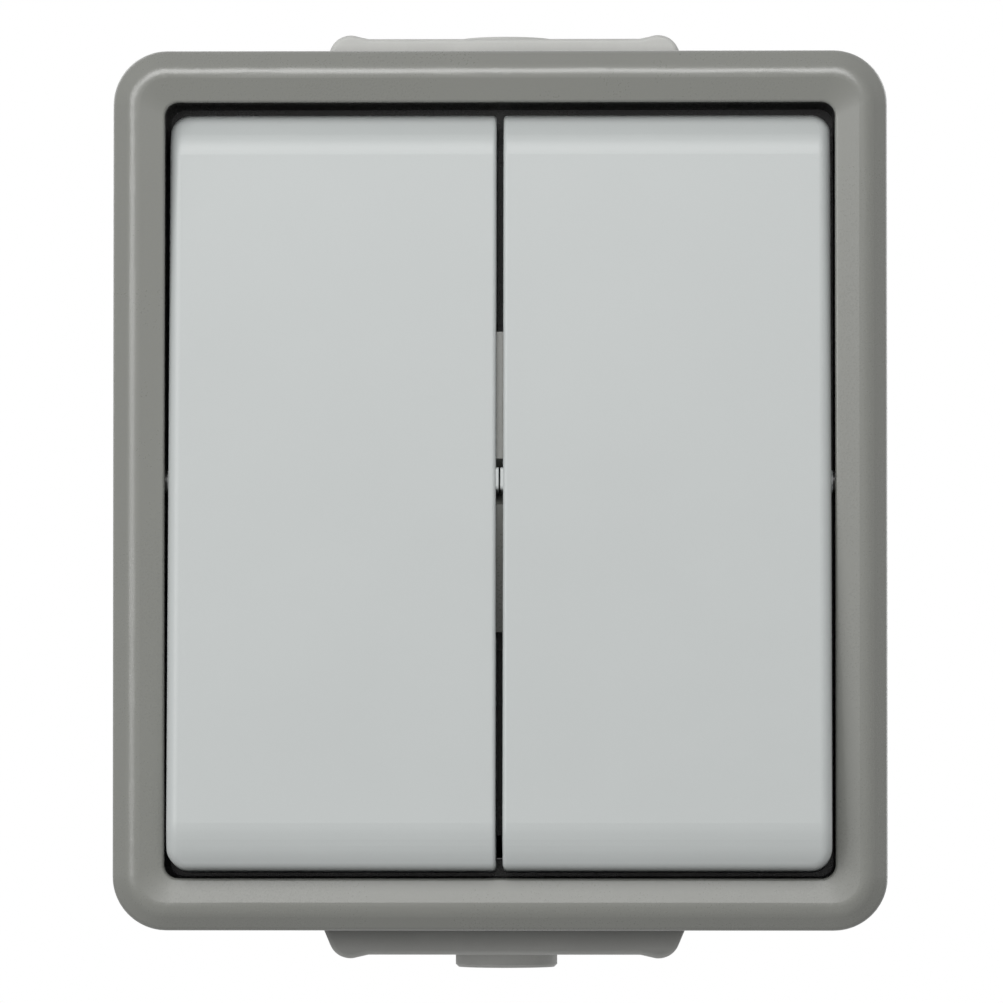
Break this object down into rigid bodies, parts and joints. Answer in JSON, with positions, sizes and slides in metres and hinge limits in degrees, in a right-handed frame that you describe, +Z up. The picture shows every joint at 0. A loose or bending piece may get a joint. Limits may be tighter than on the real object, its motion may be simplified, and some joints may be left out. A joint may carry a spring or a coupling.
{
  "type": "double two-way light switch",
  "caption": "Surface-mounted splash-proof light switch with two tall rockers side by side in a rounded grey frame and a cable entry at the top and bottom.",
  "frame": {"origin": "centre of the back face, where the box meets the wall", "axes": "+X to the right and +Z up as it hangs on the wall; the front faces -Y and the wall lies at y = 0"},
  "size_m": [0.066, 0.0494, 0.0823],
  "materials": {
    "dark_grey_plastic": "satin moulded, warm dark grey",
    "dark_grey_plastic_rear": "fine-grained moulded, warm grey",
    "light_grey_plastic": "satin moulded, cool light grey",
    "seal_rubber": "matt black",
    "entry_grey": "soft matt grey",
    "insert_white": "matt off-white",
    "toggle_plastic": "matt grey-white",
    "plunger_plastic": "matt red",
    "plated_steel": "zinc plated",
    "contact_copper": "bright copper alloy",
    "terminal_brass": "bright"
  },
  "bodies": {
    "housing": {"cover_frame": "dark_grey_plastic", "base_box": "dark_grey_plastic_rear", "rim_gasket": "seal_rubber", "cable_entry_top": "entry_grey", "cable_entry_bottom": "entry_grey", "switch_insert": "insert_white", "insert_cover": "insert_white", "terminal_screws": "plated_steel", "insert_screws": "plated_steel", "upper_traveller_left": "terminal_brass", "lower_traveller_left": "terminal_brass", "common_terminal_left": "terminal_brass", "upper_traveller_right": "terminal_brass", "lower_traveller_right": "terminal_brass", "common_terminal_right": "terminal_brass"},
    "rocker_left": {"rocker_left": "light_grey_plastic"},
    "toggle_left": {"toggle_left": "toggle_plastic", "plunger_spring_left": "plated_steel"},
    "plunger_left": {"plunger_left": "plunger_plastic"},
    "blade_left": {"contact_blade_left": "contact_copper"},
    "rocker_right": {"rocker_right": "light_grey_plastic"},
    "toggle_right": {"toggle_right": "toggle_plastic", "plunger_spring_right": "plated_steel"},
    "plunger_right": {"plunger_right": "plunger_plastic"},
    "blade_right": {"contact_blade_right": "contact_copper"}
  },
  "joints": [
    {"name": "rocker_left_tilt", "type": "hinge", "parent": "housing", "child": "rocker_left", "pos_m": [-0.0141, -0.0435, 0.0007], "axis": [1, 0, 0], "range_deg": [0, 10]},
    {"name": "toggle_left_tilt", "type": "hinge", "parent": "housing", "child": "toggle_left", "pos_m": [-0.0141, -0.024, 0.0007], "axis": [1, 0, 0], "range_deg": [0, 10]},
    {"name": "blade_left_tilt", "type": "hinge", "parent": "housing", "child": "blade_left", "pos_m": [-0.0141, -0.01525, 0.0007], "axis": [1, 0, 0], "range_deg": [-11, 0]},
    {"name": "plunger_left_slide", "type": "slide", "parent": "toggle_left", "child": "plunger_left", "axis": [0, -0.9962, 0.0872], "range_m": [0, 0.0006], "stiffness_N_per_m": 1200, "springref_m": -0.001, "deforming": ["plunger_spring_left"]},
    {"name": "rocker_right_tilt", "type": "hinge", "parent": "housing", "child": "rocker_right", "pos_m": [0.0141, -0.0435, 0.0007], "axis": [1, 0, 0], "range_deg": [0, 10]},
    {"name": "toggle_right_tilt", "type": "hinge", "parent": "housing", "child": "toggle_right", "pos_m": [0.0141, -0.024, 0.0007], "axis": [1, 0, 0], "range_deg": [0, 10]},
    {"name": "blade_right_tilt", "type": "hinge", "parent": "housing", "child": "blade_right", "pos_m": [0.0141, -0.01525, 0.0007], "axis": [1, 0, 0], "range_deg": [-11, 0]},
    {"name": "plunger_right_slide", "type": "slide", "parent": "toggle_right", "child": "plunger_right", "axis": [0, -0.9962, 0.0872], "range_m": [0, 0.0006], "stiffness_N_per_m": 1200, "springref_m": -0.001, "deforming": ["plunger_spring_right"]}
  ],
  "couplings": [
    {"joint": "toggle_left_tilt", "follows": "rocker_left_tilt", "ratio": 1},
    {"joint": "blade_left_tilt", "follows": "rocker_left_tilt", "ratio": -1.1},
    {"joint": "toggle_right_tilt", "follows": "rocker_right_tilt", "ratio": 1},
    {"joint": "blade_right_tilt", "follows": "rocker_right_tilt", "ratio": -1.1}
  ]
}
